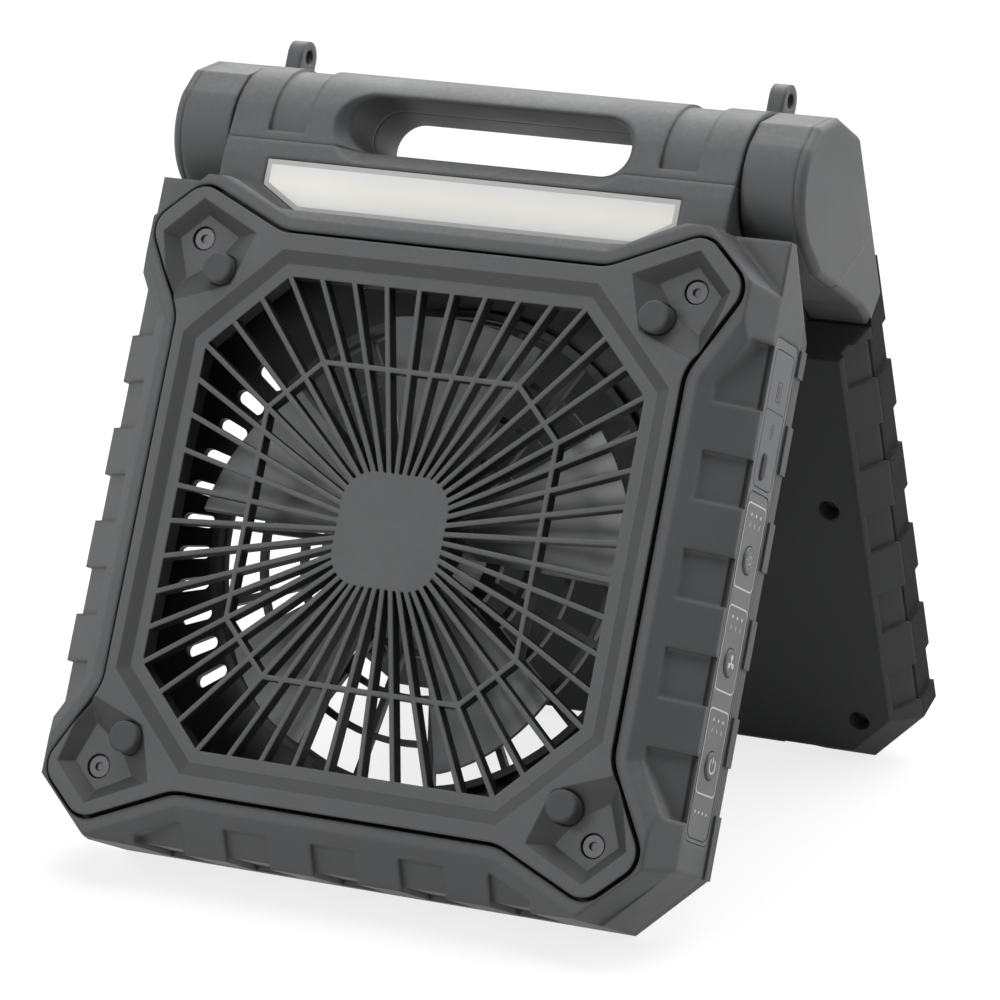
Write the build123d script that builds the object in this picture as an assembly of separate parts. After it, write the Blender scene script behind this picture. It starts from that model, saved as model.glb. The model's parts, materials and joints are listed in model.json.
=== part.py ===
from build123d import *
import os
from math import atan2, cos, degrees, hypot, radians, sin, sqrt

os.makedirs("parts", exist_ok=True)

# Sizes are in millimetres. Both panels are drawn lying flat and folded shut:
# x runs along the hinge, y up the panel, z out of the fan face, hinge axis at the origin.

# Fits, and a length that clears everything for cuts that go right through
slip = 0.3
press = 0.02
running = 0.05
seam_half = 0.6
far = 400.0

# Grille opening and the lobed bezel round it
opening_half = 80.0
opening_cut = 26.1
opening_corner = opening_half - opening_cut
bezel_side = 12.7
bezel_end = 14.8
lobe_tip_r = 9.0
lobe_waist_r = 15.0
lip_flat = 4.5
lip_round = 7.5
lip_slope = 22.5

# Fan panel outline
head = 39.4
foot = 19.0
front_half = opening_half + bezel_side + lip_slope
fan_y = -(head + bezel_end + opening_half)
drop = opening_half + bezel_end + foot - fan_y
corner_cut = 21.0
wall = 3.2
skin = 3.0

# Fan panel heights
back_z = -4.6
edge_z = 23.4
lip_z = edge_z + 13.0
lip_edge = lip_z - 2.0
bezel_z = lip_z + 1.0
rim_z = bezel_z - 1.7
ledge_z = edge_z + 5.6
roof_z = edge_z - 3.4
pocket_z = bezel_z - 4.2

# Armour recesses
pad_size = 16.0
pad_pitch = 32.0
pad_depth = 1.8
end_pad_extra = 5.5

# Grille
rim_width = 4.2
rim_bevel = 4.4
grille_gap = 7.5
spoke_width = 1.7
spoke_depth = 5.0
side_gaps = 9
corner_gaps = 3
inner_ring = 0.66
hub_width = 39.0
hub_height = 38.0
hub_corner = 11.0
screw_at = opening_half + 10.0
bumper_at = opening_half - 0.5
bumper_r = 5.25
bumper_top = bezel_z + 3.0
bumper_seat = bezel_z - 5.8

# Screws
thread_r = 1.5
head_r = 3.65
head_h = 1.6
bore_r = thread_r + slip
post_r = 4.2
cover_post_r = post_r + 0.8

# Hinge: the handle barrel on the fan panel turns between two ears on the solar panel
barrel_r = 24.0
ear_width = 22.2
ear_gap = 1.2
rear_proud = 0.8
open_angle = 45.8
fold_gap = 1.6
rear_half = front_half + rear_proud
seam_x = front_half - ear_width
ear_x = seam_x + ear_gap
pin_r = 4.0
pin_from = seam_x - 19.0
pin_to = rear_half - 4.0
bush_r = 6.5
washer_r = 11.0
clip_r = 7.0
clip_t = 0.8
clip_x = pin_to - 1.6
cap_t = 3.4
cap_x = rear_half - cap_t
cap_y = -32.4
ear_bevel = 1.5
ear_reach = -62.0
ear_heel = 5.0
facet_angle = 24.0

# Light bar
led_z = edge_z + 2.8
led_half = seam_x - 17.0
led_base_half = led_half - 14.0
led_top = -13.0
led_base = lip_round + 1.3 - head
led_side = led_base + 8.2
led_thick = 3.0
led_floor = led_z - 12.2
board_t = 1.6
led_rows = 2
led_columns = 15

# Handle, its grip bands and the hanging eyes
slot_length = 103.2
slot_height = 19.6
slot_y = 3.2
slot_rim_z = barrel_r - 5.4
slot_rim_angle = 35.0
grip_width = 14.0
grip_to = seam_x - 14.0
grip_y = -3.3
grip_depth = 1.0
hollow_from = slot_length / 2 + 6.4
hollow_to = seam_x - 4.0
hollow_r = barrel_r - 3.5
boss_r = 9.0
handle_screw_x = (slot_length / 2 + pin_from) / 2
eye_x = seam_x - 3.4
eye_t = 5.6
eye_y = barrel_r + 6.6
eye_z = -8.6
eye_r = 5.5
eye_hole_r = 2.6

# Fan and motor
duct_r = opening_half - 1.0
duct_t = 2.5
duct_high = 3.0
vent_length = 12.0
vent_width = 4.5
vent_step = 7.0
blade_count = 5
blade_r = duct_r - 3.5
blade_t = 1.8
blade_mid_z = 14.0
blade_start = 16.0
hub_r = 21.0
hub_low = 3.0
hub_high = 22.0
motor_r = 14.0
motor_high = 15.0
motor_ring = 9.0
shaft_r = 1.5
shaft_low = 1.0
mount_r = 24.0
rear_ring_step = 15.0
rear_ribs = 18
rear_rib = 2.2

# Controls on the right side
strip_t = 2.0
strip_low = 1.4
strip_high = roof_z + 1.4
strip_top = ear_reach + 8.8
strip_bottom = corner_cut + 10.2 - drop
strip_x = front_half - strip_t
strip_corner = 3.0
strip_gap = 0.2
groove_width = 0.5
control_z = 11.0
flap_length = 44.6
flap_top = strip_top - 3.5
flap_bottom = flap_top - flap_length
flap_low = 3.3
flap_high = 19.1
flap_t = 1.1
flap_corner = 2.5
tab_t = 0.8
tab_length = 9.0
tab_width = 3.4
button_r = 4.5
button_out = 0.7
flange_r = 6.0
button_names = ["light_button", "fan_button", "power_button"]
button_pitch = (flap_bottom - strip_bottom - 48.7) / 2
first_button = flap_bottom - 23.5
button_ys = [first_button - k * button_pitch for k in range(3)]
board_x = front_half - 11.2
board_out = board_x + board_t
usb_a_y = flap_top - 12.9
usb_c_y = flap_top - 26.0

# Batteries: two cells lying end to end below the fan
cell_r = 9.2
cell_length = 65.0
cell_gap = 0.5
tray_wall = 0.5
tray_high = 8.0
base_cell_y = 17.0 - drop

# Solar panel
plate_z = back_z - fold_gap
plate_bevel = 9.0
plate_skin = 2.5
side_z = plate_z - 10.0
solar_z = side_z - 12.0
rear_top = -42.0
glass_half = rear_half - 16.0
glass_top = rear_top - 10.0
glass_bottom = 16.0 - drop
glass_depth = 3.8
glass_edge = 0.4
cell_columns = 4
cell_rows = 6
cell_space = 1.6
cell_border = 5.0
rear_pad_top = ear_reach - 13.4
rear_pad_pitch = 34.0
rear_pad_depth = 1.5
tube_r = 5.0


# Drawing helpers
def prism(points, low, high):
    face = Plane.XY.offset(low) * Polygon(*points, align=None)
    return extrude(face, high - low, dir=(0, 0, 1))


def bar(points, left, right):
    face = Plane.YZ.offset(left) * Polygon(*points, align=None)
    return extrude(face, right - left, dir=(1, 0, 0))


def box(x0, x1, y0, y1, z0, z1):
    return Pos((x0 + x1) / 2, (y0 + y1) / 2, (z0 + z1) / 2) * Box(x1 - x0, y1 - y0, z1 - z0)


def rod(x, y, low, high, radius):
    return Pos(x, y, (low + high) / 2) * Cylinder(radius, high - low)


def axle(left, right, radius, y=0.0, z=0.0):
    return Pos((left + right) / 2, y, z) * Rot(0, 90, 0) * Cylinder(radius, right - left)


def panel(y0, y1, z0, z1, radius, left, right):
    face = Pos((y0 + y1) / 2, (z0 + z1) / 2) * RectangleRounded(y1 - y0, z1 - z0, radius)
    return extrude(Plane.YZ.offset(left) * face, right - left, dir=(1, 0, 0))


def both(part):
    return part + mirror(part, about=Plane.YZ)


def four(part):
    pair = both(part)
    return pair + mirror(pair, about=Plane.XZ)


def four_ways(quarter):
    upper = quarter + [(-x, y) for x, y in reversed(quarter)]
    return upper + [(-x, -y) for x, y in upper]


def corner(points):
    return [(opening_half + x, opening_half + y) for x, y in points]


def grown(points, amount):
    result = []
    for i, (x, y) in enumerate(points):
        px, py = points[i - 1]
        qx, qy = points[(i + 1) % len(points)]
        a = hypot(x - px, y - py)
        b = hypot(qx - x, qy - y)
        n = ((y - py) / a, (px - x) / a)
        m = ((qy - y) / b, (x - qx) / b)
        k = amount / (1 + n[0] * m[0] + n[1] * m[1])
        result.append((x + k * (n[0] + m[0]), y + k * (n[1] + m[1])))
    return result


def tapered(low_points, low, high_points, high):
    base = Pos(0, 0, low) * Polygon(*low_points, align=None)
    top = Pos(0, 0, high) * Polygon(*high_points, align=None)
    return loft([base, top], ruled=True)


def rail(points, middle, width):
    face = Plane.XZ * Polygon(*points, align=None)
    return Pos(0, middle - width / 2, 0) * extrude(face, width, dir=(0, 1, 0))


# Profile of a recess that follows a slope and turns down the side below it
def recess(start, end, depth, low):
    run = hypot(end[0] - start[0], end[1] - start[1])
    d = ((end[0] - start[0]) / run, (end[1] - start[1]) / run)
    n = (-d[1], d[0])
    inner = (start[0] + 2 * d[0] - depth * n[0], start[1] + 2 * d[1] - depth * n[1])
    x = end[0] - depth
    bend = (x, inner[1] + (x - inner[0]) * d[1] / d[0])
    outer = (inner[0] + 12 * n[0], inner[1] + 12 * n[1])
    return [inner, bend, (x, low), (end[0] + 6, low), (end[0] + 6, outer[1]), outer]


def at_fan(part):
    return Pos(0, fan_y, 0) * part


lobe_reach = 29.0
lobe = four_ways(corner([(bezel_side, -17.0), (29.5, 13.0), (12.0, lobe_reach), (-21.0, bezel_end)]))
octagon = four_ways([(opening_half, opening_corner), (opening_corner, opening_half)])


def lobed(amount, low, high):
    face = Polygon(*grown(lobe, amount), align=None)
    tips = [v for v in face.vertices() if min(abs(v.X), abs(v.Y)) > opening_half]
    face = fillet(tips, lobe_tip_r + amount)
    waists = [v for v in face.vertices() if min(abs(v.X), abs(v.Y)) < opening_half - 13.5]
    face = fillet(waists, lobe_waist_r - amount)
    return extrude(Pos(0, 0, low) * face, high - low, dir=(0, 0, 1))


# Outlines seen from the front
shoulder_y = fan_y + opening_half + lobe_reach + 2.5
outline = [
    (front_half, corner_cut - drop),
    (front_half, shoulder_y),
    (-front_half, shoulder_y),
    (-front_half, corner_cut - drop),
    (corner_cut - front_half, -drop),
    (front_half - corner_cut, -drop),
]
inner_side = front_half - wall
inner_cut = corner_cut - drop + wall * 0.6
inner_top = 1.4 - head
cavity_points = [
    (inner_side, inner_cut),
    (inner_side, ear_reach),
    (seam_x - 5, ear_reach),
    (seam_x - 5, inner_top),
    (5 - seam_x, inner_top),
    (5 - seam_x, ear_reach),
    (-inner_side, ear_reach),
    (-inner_side, inner_cut),
    (corner_cut - front_half + wall * 0.6, wall - drop),
    (front_half - corner_cut - wall * 0.6, wall - drop),
]
led_points = [
    (led_half, led_top),
    (-led_half, led_top),
    (-led_half, led_side),
    (-led_base_half, led_base),
    (led_base_half, led_base),
    (led_half, led_side),
]
light_land = [
    (seam_x + 1, led_top + 5),
    (-seam_x - 1, led_top + 5),
    (-seam_x - 1, led_side + 3.2),
    (-led_half - 4, led_side - 1.3),
    (-led_base_half - 1, led_base - 1),
    (led_base_half + 1, led_base - 1),
    (led_half + 4, led_side - 1.3),
    (seam_x + 1, led_side + 3.2),
]

# Cuts shared by the two halves of the handle and the shoulders
shoulder_cut = [
    (shoulder_y + 4.7, roof_z - 1.4),
    (shoulder_y - 0.7, roof_z - 1.4),
    (ear_reach + 5.8, -10.0),
    (shoulder_y + 4.7, -10.0),
]
cover_screws = [
    (seam_x / 2, inner_top - 7),
    (seam_x - 1, ear_reach - 6),
    (front_half - 25.2, 22 - drop),
]
shoulders = both(bar(shoulder_cut, seam_x, far))
slot_bottom = slot_y - slot_height / 2
slot_face = SlotOverall(slot_length, slot_height)
slot_out = extrude(Pos(0, slot_y, slot_rim_z) * slot_face, barrel_r / 2, taper=-slot_rim_angle)
slot = extrude(Pos(0, slot_y, -far) * slot_face, 2 * far) + slot_out + mirror(slot_out, about=Plane.XY)
pin_holes = both(axle(pin_from - slip, seam_x + 1, pin_r + press))
hollows = both(axle(hollow_from, hollow_to, hollow_r) - axle(hollow_from, hollow_to, boss_r))
grip_from = grip_to - grip_width
grips = axle(grip_from, grip_to, barrel_r + 2) - axle(grip_from, grip_to, barrel_r - grip_depth)
grips = both(grips & box(0, far, grip_y, far, -far, far))
front_side = box(-far, far, -far, far, 0, far)
back_side = box(-far, far, -far, far, -far, 0)

# Fan panel front shell, with steep walls round the outer ends of the lobes
lobe_foot = four_ways(corner([(front_half - opening_half, 13.2), (8.8, 37.3)]))
lobe_brow = four_ways(corner([(28.9, 15.3), (9.6, 33.0)]))
lobe_walls = tapered(lobe_foot, edge_z, lobe_brow, lip_z)
crown = tapered(grown(lobe, lip_slope), edge_z, grown(lobe, lip_round), lip_edge)
crown += tapered(grown(lobe, lip_round), lip_edge, grown(lobe, lip_flat), lip_z)
crown = at_fan(crown & lobe_walls) & prism(outline, edge_z, lip_z)
bridge_top = [(led_top + 1, led_z), (barrel_r / 4, barrel_r - 0.7), (barrel_r / 4, 0)]
bridge = [(-head, 0), (-head, led_z)] + bridge_top
middle = bar(bridge, -seam_x, seam_x)
middle += axle(-seam_x, seam_x, barrel_r) & front_side
middle -= grips
housing = prism(outline, 0, edge_z) + crown + middle
housing -= prism(light_land, led_z, far)
housing -= shoulders
housing -= prism(cavity_points, 0, roof_z)
housing -= at_fan(prism(grown(octagon, grille_gap), roof_z, ledge_z + 1))
housing -= at_fan(lobed(seam_half, ledge_z, far))
housing -= prism(led_points, led_z - led_thick, far)
housing -= prism(grown(led_points, -2.5), led_floor, led_z)
housing -= slot
housing -= hollows & box(-far, far, slot_bottom, far, 0, far)
housing -= pin_holes
housing -= both(rod(handle_screw_x, 0, 0, 13, bore_r))
for px, py in cover_screws:
    housing += both(rod(px, py, 0, roof_z + 1, post_r) - rod(px, py, -1, 15, bore_r))
housing -= at_fan(four(rod(screw_at, screw_at, roof_z, ledge_z + 1, bore_r)))

# Recessed armour squares that turn the corner of the sides and the bottom
base_top = opening_half + bezel_end + lip_round - fan_y
base_edge = lip_edge - (drop - base_top) * (lip_edge - edge_z) / (lip_slope - lip_round)
side_start = (opening_half + bezel_side + lip_round, lip_edge)
right_recess = recess(side_start, (front_half, edge_z), pad_depth, strip_high + 0.4)
left_recess = recess(side_start, (front_half, edge_z), pad_depth, 4.0)
base_recess = recess((base_top, lip_edge), (drop, base_edge), pad_depth, 4.0)
pads = []
for k in range(-2, 3):
    extra = end_pad_extra if abs(k) == 2 else 0
    pad_y = fan_y + k * (pad_pitch + extra / 4)
    pads.append(rail(right_recess, pad_y, pad_size + extra))
    pads.append(mirror(rail(left_recess, pad_y, pad_size + extra), about=Plane.YZ))
    pads.append(Rot(0, 0, -90) * rail(base_recess, k * pad_pitch, pad_size))
housing -= (Part() + pads) - at_fan(lobed(lip_round + 1.5, 0, far))

# Front half of the handle, split off the shell level with the bottom of the slot
handle_space = box(-seam_x, seam_x, slot_bottom, far, 0, far)
handle_front = housing & handle_space
housing -= handle_space

# Right side opening for the controls, with posts for the board
room = (strip_bottom - strip_gap, strip_top + strip_gap, strip_low - strip_gap, strip_high + strip_gap)
housing -= panel(*room, strip_corner + strip_gap, strip_x, far)
housing -= box(inner_side - 1, strip_x + 0.1, strip_bottom + 4, strip_top - 4, 4, roof_z - 1)
for py in [strip_top - 7.8, flap_bottom - 2.7, button_ys[1] + 13.2, strip_bottom + 7.8]:
    housing += box(board_out, inner_side + 0.5, py - 3, py + 3, 0.4, 3.6)

# Back cover with the duct and the rear grille
motor_spots = []
for k in range(3):
    angle = radians(120 * k + 90)
    motor_spots.append((motor_ring * cos(angle), fan_y + motor_ring * sin(angle)))
cover = prism(outline, back_z, 0) - shoulders
cover -= box(-seam_x, seam_x, -barrel_r - 2, far, -far, far)
cover -= prism(cavity_points, back_z + skin, 0)
cover -= at_fan(rod(0, 0, -far, far, duct_r - 1))
net = Circle(mount_r)
ring_r = mount_r + 10
while ring_r < duct_r - 10:
    net += Circle(ring_r + rear_rib / 2) - Circle(ring_r - rear_rib / 2)
    ring_r += rear_ring_step
rib_length = duct_r - mount_r + 3
for k in range(rear_ribs):
    rib = Pos(mount_r - 2 + rib_length / 2, 0) * Rectangle(rib_length, rear_rib)
    net += Rot(0, 0, 360 * k / rear_ribs) * rib
cover += at_fan(extrude(Pos(0, 0, back_z) * net, skin))
duct = rod(0, 0, back_z + skin - 0.5, duct_high, duct_r + duct_t)
cover += at_fan(duct - rod(0, 0, -far, far, duct_r))
vents = []
for k in range(-5, 6):
    vent = Pos(duct_r + duct_t + 2.5 + vent_length / 2, 0) * SlotOverall(vent_length, vent_width)
    vents.append(Rot(0, 0, k * vent_step) * vent)
cover -= at_fan(both(extrude(Pos(0, 0, back_z - 1) * (Sketch() + vents), skin + 2)))
for px, py in cover_screws:
    cover += both(rod(px, py, back_z, 0, cover_post_r))
    cover -= both(rod(px, py, -far, far, bore_r) + rod(px, py, -far, back_z + head_h + 0.4, head_r + slip))
for px, py in motor_spots:
    cover -= rod(px, py, -far, far, bore_r) + rod(px, py, -far, back_z + head_h + 0.2, head_r - 1 + slip)

# Raised rails along the back edges of the sides, notched in line with the armour recesses
rails = box(front_half - 1, rear_half, corner_cut - drop, strip_top, back_z, 0)
for k in range(-2, 3):
    notch = fan_y + k * pad_pitch
    rails -= box(front_half, far, notch - pad_size / 2, notch + pad_size / 2, -far, far)
cover += both(rails)

# Back half of the handle, and the hanging eyes let into it
handle = (axle(-seam_x, seam_x, barrel_r) - grips) & back_side
tab = box(eye_x - eye_t / 2, eye_x + eye_t / 2, barrel_r - 8, eye_y, eye_z - eye_r, eye_z + eye_r)
tab += axle(eye_x - eye_t / 2, eye_x + eye_t / 2, eye_r, eye_y, eye_z)
tab -= axle(eye_x - eye_t, eye_x + eye_t, eye_hole_r, eye_y, eye_z)
eyes = both(tab)
eye_half = eye_t / 2 + press
eye_deep = eye_r + press
eye_seat = barrel_r - 8 - press
handle -= hollows & back_side
handle -= both(box(eye_x - eye_half, eye_x + eye_half, eye_seat, far, eye_z - eye_deep, eye_z + eye_deep))
handle -= slot
handle -= pin_holes
handle -= both(rod(handle_screw_x, 0, -far, 0, bore_r) + rod(handle_screw_x, 0, -far, -6, head_r + slip))

# Front grille
grille = lobed(-seam_half, ledge_z, bezel_z)
grille -= tapered(grown(octagon, rim_width), rim_z, grown(octagon, rim_width + rim_bevel), bezel_z + 0.01)
grille -= prism(octagon, ledge_z - 1, far)
kite_top = corner([(16.8, -13.5), (23.5, 10.5), (10.5, 23.0), (-11.5, 13.0), (-5.5, -5.5)])
kite_floor = corner([(13.5, -4.0), (18.8, 9.2), (9.5, 18.0), (-3.0, 11.5), (3.5, 2.5)])
grille -= four(tapered(kite_floor, pocket_z, kite_top, bezel_z + 0.01))
grille -= four(rod(bumper_at, bumper_at, bumper_seat, far, bumper_r + slip))
head_seat = pocket_z - head_h - 0.6
grille -= four(rod(screw_at, screw_at, head_seat, far, head_r + 0.5))
grille -= four(rod(screw_at, screw_at, 0, far, bore_r))
inner_edge = opening_half + 3
side_edge = opening_half + bezel_side - 4
end_edge = opening_half + bezel_end - 4
hollow_back = both(box(inner_edge, side_edge, -opening_corner, opening_corner, ledge_z - 1, pocket_z))
hollow_back += box(-opening_corner, opening_corner, inner_edge, end_edge, ledge_z - 1, pocket_z)
hollow_back += box(-opening_corner, opening_corner, -end_edge, -inner_edge, ledge_z - 1, pocket_z)
grille -= hollow_back
ends = []
for k in range(side_gaps + 1):
    ends.append((opening_corner - 2 * opening_corner * k / side_gaps, opening_half))
for k in range(1, corner_gaps):
    t = k / corner_gaps
    ends.append((-opening_corner - opening_cut * t, opening_half - opening_cut * t))
spokes = []
for quarter in range(4):
    for ex, ey in ends:
        reach = hypot(ex, ey) + 1.2
        spoke = Pos(reach / 2 + 7, 0, rim_z - spoke_depth / 2) * Box(reach - 14, spoke_width, spoke_depth)
        spokes.append(Rot(0, 0, degrees(atan2(ey, ex)) + 90 * quarter) * spoke)
ring_points = [(x * inner_ring, y * inner_ring) for x, y in octagon]
ring = prism(grown(ring_points, spoke_width / 2), rim_z - spoke_depth, rim_z)
ring -= prism(grown(ring_points, -spoke_width / 2), rim_z - spoke_depth, rim_z)
hub_face = RectangleRounded(hub_width, hub_height, hub_corner)
hub_plate = extrude(Pos(0, 0, rim_z - spoke_depth) * hub_face, spoke_depth)
grille += spokes + [ring, hub_plate]
grille = at_fan(grille)

# Fan rotor
cup = rod(0, 0, hub_low, hub_high, hub_r) - rod(0, 0, hub_low - 1, motor_high + 2, motor_r + 2)
blades = []
for k in range(blade_count):
    root = Plane(origin=(hub_r - 3, 0, blade_mid_z), x_dir=(0, 1, 0), z_dir=(1, 0, 0))
    tip = Plane(origin=(blade_r + 6, 0, blade_mid_z), x_dir=(0, 1, 0), z_dir=(1, 0, 0))
    root_face = root * Rot(0, 0, 38) * Rectangle(17, blade_t + 0.8)
    tip_face = tip * Rot(0, 0, 17) * Rectangle(60, blade_t)
    blades.append(Rot(0, 0, 360 * k / blade_count + blade_start) * loft([root_face, tip_face]))
vanes = (Part() + blades) & (rod(0, 0, 0, ledge_z, blade_r) - rod(0, 0, 0, far, hub_r - 1.5))
rotor = at_fan(cup + vanes - rod(0, 0, 0, far, shaft_r + press))
shaft = at_fan(rod(0, 0, shaft_low, hub_high - 1, shaft_r))
motor = rod(0, 0, back_z + skin, motor_high, motor_r)
motor = at_fan(motor - rod(0, 0, shaft_low - 0.3, far, shaft_r + running))
for px, py in motor_spots:
    motor -= rod(px, py, back_z, 6, bore_r)


# Screws, with the head at the low end or at the high end of the shank
def screw(x, y, low, high, head_low, radius=head_r):
    start = low if head_low else high - head_h
    return rod(x, y, low, high, thread_r) + rod(x, y, start, start + head_h, radius)


def drive(x, y, z):
    return rod(x, y, z - 1, z + 1, 1.5)


grille_screw = screw(screw_at, screw_at, roof_z + 1, head_seat + head_h, False)
grille_screw -= drive(screw_at, screw_at, head_seat + head_h)
grille_screw_set = at_fan(four(grille_screw))
bumper = rod(bumper_at, bumper_at, bumper_seat, bumper_top, bumper_r)
bumper = chamfer(bumper.edges().group_by(Axis.Z)[-1], 0.6)
bumper_set = at_fan(four(bumper))
cover_screw_set = Part()
cover_head = back_z + 0.4
for px, py in cover_screws:
    cover_screw_set += both(screw(px, py, cover_head, 12, True) - drive(px, py, cover_head))
motor_screw_set = Part()
motor_head = back_z + 0.2
for px, py in motor_spots:
    motor_screw_set += screw(px, py, motor_head, 4, True, head_r - 1) - drive(px, py, motor_head)
handle_head = -6 - head_h
handle_screw = screw(handle_screw_x, 0, handle_head, 11, True)
handle_screw_set = both(handle_screw - drive(handle_screw_x, 0, handle_head))

# Light bar pieces
diffuser = prism(grown(led_points, -slip), led_z - led_thick, led_z)
led_board = prism(grown(led_points, -3.0), led_floor, led_floor + board_t)
chip_pitch = 2 * (led_base_half - 4.5) / (led_columns - 1)
chips = []
for row in range(led_rows):
    for k in range(led_columns):
        cx = (k - (led_columns - 1) / 2) * chip_pitch
        cy = led_top - (led_top - led_base) * (row + 1) / (led_rows + 1)
        chips.append(Pos(cx, cy, led_floor + board_t + 0.4) * Box(3.5, 2.8, 0.8))
led_chips = Part() + chips

# Batteries and their tray on the back cover
tray_floor = back_z + skin
cell_z = tray_floor + 1 + slip + cell_r
lying = Rot(0, 90, 0) * Cylinder(cell_r, cell_length)
half_step = (cell_length + cell_gap) / 2
cells = both(Pos(half_step, base_cell_y, cell_z) * lying)


cells_length = 2 * cell_length + cell_gap
tray_block = Box(cells_length + 6, 2 * (cell_r + slip + tray_wall), tray_high)
tray_room = Rot(0, 90, 0) * Cylinder(cell_r + slip, cells_length + 2 * slip)
battery_tray = Pos(0, base_cell_y, tray_floor + tray_high / 2) * tray_block
battery_tray -= Pos(0, base_cell_y, cell_z) * tray_room

# Control board, switches and sockets
control_board = box(board_x, board_out, strip_bottom + 4.8, ear_reach - 0.6, 1, roof_z - 0.4)
switches = []
for py in button_ys:
    body = box(board_out, board_out + 3.4, py - 3, py + 3, control_z - 3, control_z + 3)
    switches.append(body + axle(board_out + 3, board_out + 4.1, 1.7, py, control_z))
tact_switches = Part() + switches


def port_box(y, length, height, start, stop):
    return box(start, stop, y - length / 2, y + length / 2, control_z - height / 2, control_z + height / 2)


def socket(y, length, height, tongue):
    shell = port_box(y, length, height, board_out, strip_x - 0.2)
    shell -= port_box(y, length - 0.8, height - 0.8, board_out + 1.2, strip_x + 1)
    return shell + port_box(y, tongue, 0.8, board_out + 1, strip_x - 1.2)


usb_a_socket = socket(usb_a_y, 13.2, 5.8, 10.4)
usb_c_socket = socket(usb_c_y, 9.0, 3.3, 6.6)

# Control strip, buttons and the rubber flap over the sockets
strip = panel(strip_bottom, strip_top, strip_low, strip_high, strip_corner, strip_x, front_half)
seat = (flap_bottom - slip, flap_top + slip, flap_low - slip, flap_high + slip)
strip -= panel(*seat, flap_corner + slip, front_half - flap_t - 0.1, far)
zone = (strip_bottom + 1, flap_bottom - 1.7, strip_low + 0.9, strip_high - 0.9)
inset = (zone[0] + groove_width, zone[1] - groove_width, zone[2] + groove_width, zone[3] - groove_width)
groove = panel(*zone, strip_corner + groove_width, front_half - groove_width, far)
strip -= groove - panel(*inset, strip_corner, 0, far)
strip -= port_box(usb_a_y, 13.8, 6.4, 0, far)
strip -= port_box(usb_c_y, 9.6, 3.9, 0, far)
buttons = {}
for name, py in zip(button_names, button_ys):
    strip -= axle(0, far, button_r + slip, py, control_z)
    cap = axle(strip_x - 0.4, front_half + button_out, button_r, py, control_z)
    cap = chamfer(cap.edges().group_by(Axis.X)[-1], 0.5)
    cap += axle(strip_x - 1.2, strip_x - 0.2, flange_r, py, control_z)
    cap += axle(board_out + 4.8, strip_x - 1, 1.6, py, control_z)
    buttons[name] = cap
flap = panel(flap_bottom, flap_top, flap_low, flap_high, flap_corner, front_half - flap_t, front_half)
tab_y = flap_bottom + 6.8
pull_face = Pos(tab_y, control_z + 2.7) * SlotOverall(tab_length, tab_width)
pull = extrude(Plane.YZ.offset(front_half - 0.1) * pull_face, tab_t + 0.1, dir=(1, 0, 0))
flap += chamfer(pull.edges().group_by(Axis.X)[-1], tab_t / 2)

# Hinge pins, clips, bushes and friction washers
pin = both(axle(pin_from, pin_to, pin_r))
clips = both(axle(clip_x, clip_x + clip_t, clip_r) - axle(0, far, pin_r + press))
bushes = both(axle(ear_x, clip_x - 0.2, bush_r) - axle(0, far, pin_r + running))
washers = both(axle(seam_x + 0.15, ear_x - 0.15, washer_r) - axle(0, far, pin_r + slip))

# Hinge ears, which are let into the top corners of the solar panel frame
ear_front = (-8.5, sqrt(barrel_r**2 - 8.5**2))
ear_back = (19.0, -sqrt(barrel_r**2 - 19.0**2))
brow = radians(facet_angle)
ear_brow = (barrel_r * cos(brow), barrel_r * sin(brow))
ear_points = [
    ear_front,
    (-21.5, 17.6),
    (-51.3, -10.1),
    (ear_reach, side_z),
    (ear_reach + ear_heel, solar_z),
    (4.0, solar_z),
    ear_back,
    (barrel_r, 0.0),
    ear_brow,
]
half_way = (brow + atan2(ear_front[1], ear_front[0])) / 2
ear_arc = ThreePointArc(ear_brow, (barrel_r * cos(half_way), barrel_r * sin(half_way)), ear_front)
ear_face = make_face((Polyline(*ear_points) + ear_arc).edges())
bevel_x = rear_half - ear_bevel
ear = extrude(Plane.YZ.offset(ear_x) * ear_face, bevel_x - ear_x, dir=(1, 0, 0))
ear += extrude(Plane.YZ.offset(bevel_x) * ear_face, ear_bevel, dir=(1, 0, 0), taper=45)
cap_line = [(far, -far), (far, far), (cap_y, far), (cap_y, -far)]
cap_space = bar(cap_line, cap_x, far)
hollow_face = Polygon(*grown(ear_points, -skin), align=None) + Circle(barrel_r - skin)
ear_hollow = extrude(Plane.YZ.offset(ear_x + skin) * hollow_face, cap_x - ear_x - skin, dir=(1, 0, 0))
ear_hollow &= bar(grown(cap_line, -2.0), ear_x, far)
ear_cap = ear & cap_space
ears = ear - cap_space - (ear_hollow - axle(0, far, boss_r + 1)) - axle(0, clip_x - 0.2, bush_r + press)
ears -= axle(clip_x - 0.2, far, clip_r + 1)

# Solar panel frame
rear_points = [
    (rear_half, corner_cut - drop),
    (rear_half, rear_top),
    (-rear_half, rear_top),
    (-rear_half, corner_cut - drop),
    (corner_cut - rear_half, -drop),
    (rear_half - corner_cut, -drop),
]
plate_top = ear_reach - 0.6
plate_points = [
    (rear_half, corner_cut - drop),
    (rear_half, plate_top),
    (seam_x, plate_top),
    (seam_x, rear_top),
    (-seam_x, rear_top),
    (-seam_x, plate_top),
    (-rear_half, plate_top),
    (-rear_half, corner_cut - drop),
    (corner_cut - rear_half, -drop),
    (rear_half - corner_cut, -drop),
]
plate_screws = [(seam_x - 9, ear_reach + 6), (rear_half - 20.6, fan_y), (rear_half - 20.6, 23 - drop)]
floor_z = solar_z + glass_depth + 2
tube_z = side_z + 1.2
glass_room = box(-glass_half, glass_half, glass_bottom, glass_top, -far, solar_z + glass_depth)
hinge_ears = both(ears) - glass_room
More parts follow.
